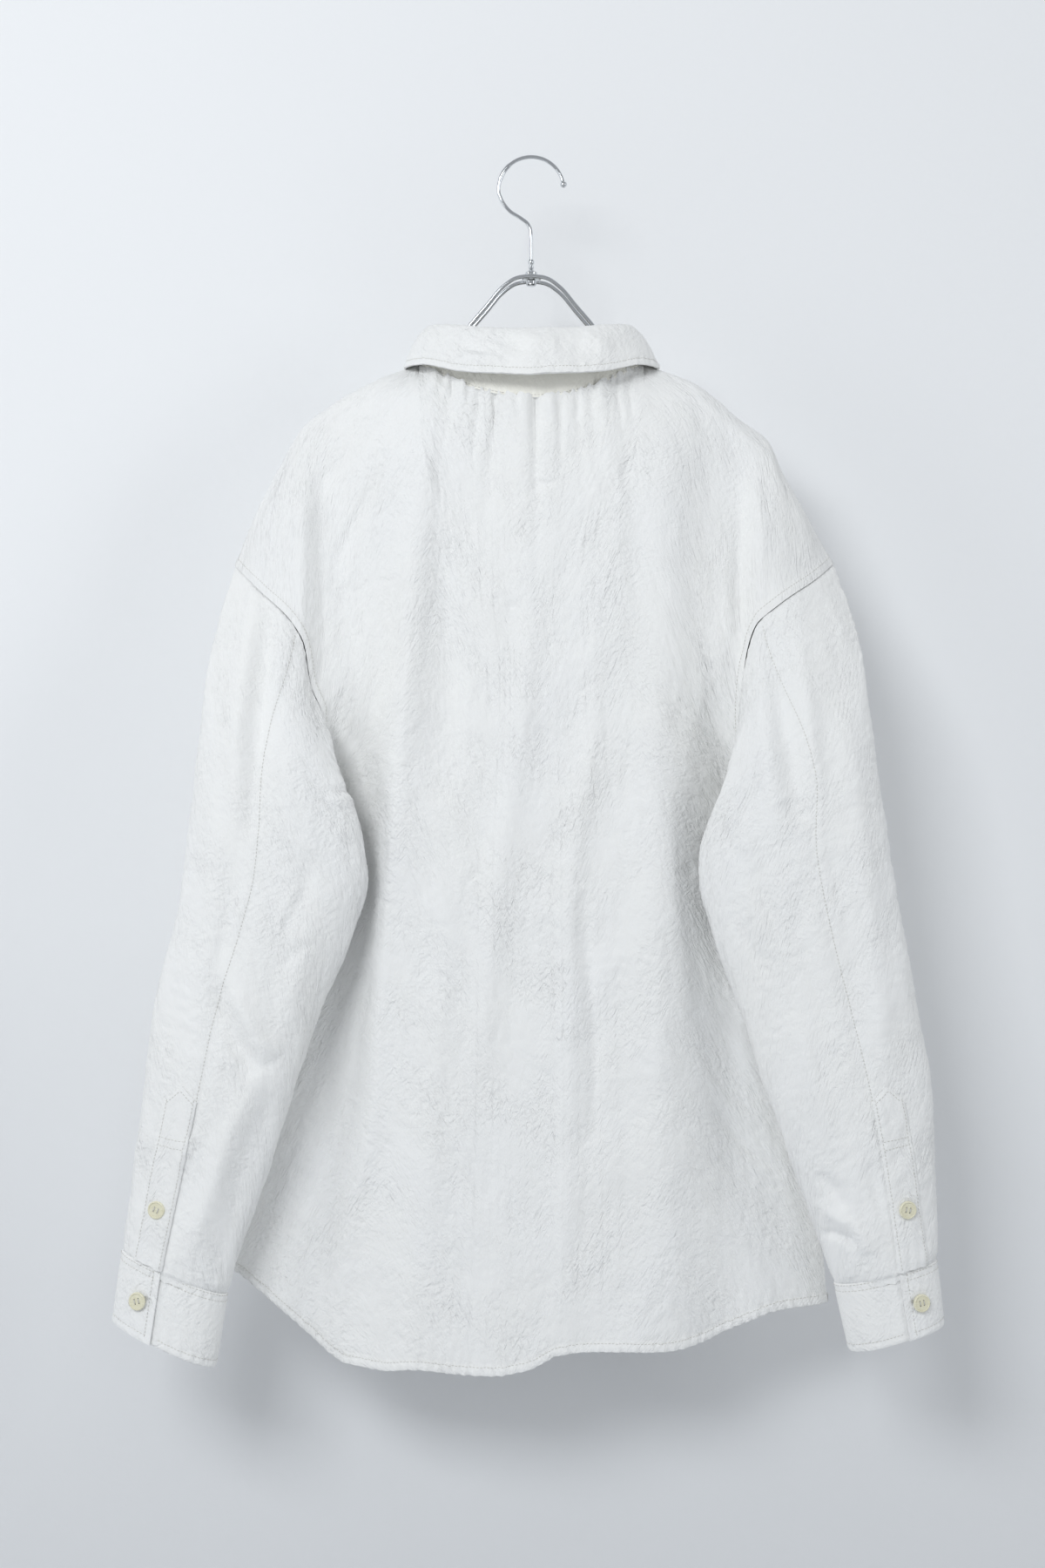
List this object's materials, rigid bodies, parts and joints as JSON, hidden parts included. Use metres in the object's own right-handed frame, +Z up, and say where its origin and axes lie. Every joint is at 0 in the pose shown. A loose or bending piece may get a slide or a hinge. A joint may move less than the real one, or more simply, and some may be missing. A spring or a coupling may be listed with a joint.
{
  "type": "shirt on hanger",
  "caption": "Crumpled oversized long-sleeved cotton shirt with turned-down collar, pointed sleeve plackets and buttoned cuffs, hung on a two-wire metal hanger.",
  "frame": {"origin": "inside of the hook's crown, where the hanger bears on a rail or peg", "axes": "+Z up; -Y is the way the shirt's back faces, and +Y the way its fronts face; the wearer's left is towards -X"},
  "size_m": [0.6293, 0.1518, 0.9459],
  "materials": {
    "cloth": "washed plain-weave cotton, matt and crumpled",
    "buttons": "ivory, softly polished",
    "hanger": "bright plated wire"
  },
  "bodies": {
    "root": {"back": "cloth", "front_left": "cloth", "front_right": "cloth", "front_band": "cloth", "sleeve_left": "cloth", "sleeve_right": "cloth", "collar_stand": "cloth", "collar_fall": "cloth", "cuff_left": "cloth", "cuff_right": "cloth", "sleeve_placket_left": "cloth", "sleeve_placket_right": "cloth", "button_front_1": "buttons", "button_front_2": "buttons", "button_front_3": "buttons", "button_front_4": "buttons", "button_front_5": "buttons", "button_front_6": "buttons", "button_cuff_left": "buttons", "button_cuff_right": "buttons", "button_placket_left": "buttons", "button_placket_right": "buttons", "hanger_hook": "hanger", "hanger_ferrule": "hanger", "hanger_yoke": "hanger"}
  },
  "joints": []
}
